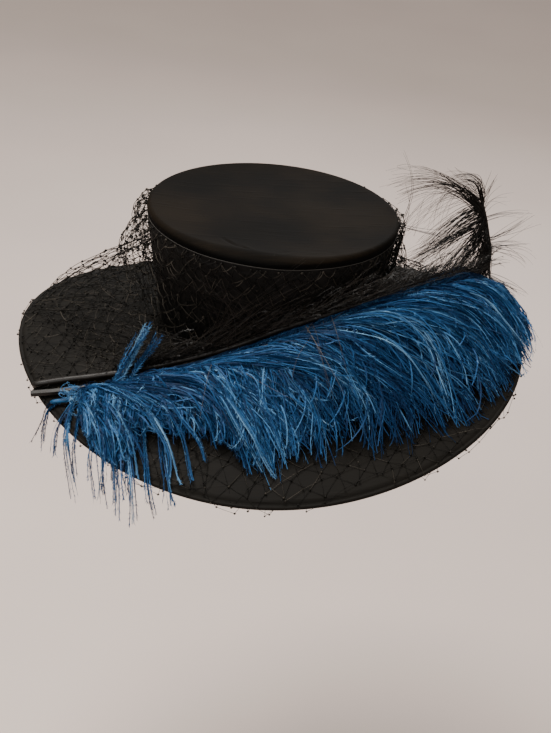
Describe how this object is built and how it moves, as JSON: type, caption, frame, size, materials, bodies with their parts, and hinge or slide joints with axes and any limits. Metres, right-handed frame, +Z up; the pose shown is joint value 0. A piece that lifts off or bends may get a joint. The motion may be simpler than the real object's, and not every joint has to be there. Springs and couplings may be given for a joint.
{
  "type": "wide-brim hat",
  "caption": "Wide-brimmed silk-covered hat with a flat flared crown, a gathered net, a blue ostrich plume across the front, black quills and a curled black plume.",
  "frame": {"origin": "middle of the head opening, at the height where the crown's side meets the top of the brim", "axes": "+Z up the crown's axis, -Y towards the side that the blue plume lies on, +X towards the end where the black plume stands"},
  "size_m": [0.4724, 0.4288, 0.244],
  "materials": {
    "crown_top_silk": "matte slubbed silk",
    "crown_side_silk": "matte black silk",
    "brim_silk": "matte black silk",
    "net": "black knotted net",
    "blue_feather": "dyed ostrich feather",
    "black_feather": "black feather strands on a horn quill",
    "black_quill": "dark horn quill"
  },
  "bodies": {
    "root": {"crown_tip": "crown_top_silk", "crown_side": "crown_side_silk", "brim": "brim_silk", "veil": "net", "blue_plume": "blue_feather", "black_plume": "black_feather", "second_quill": "black_quill"}
  },
  "joints": []
}
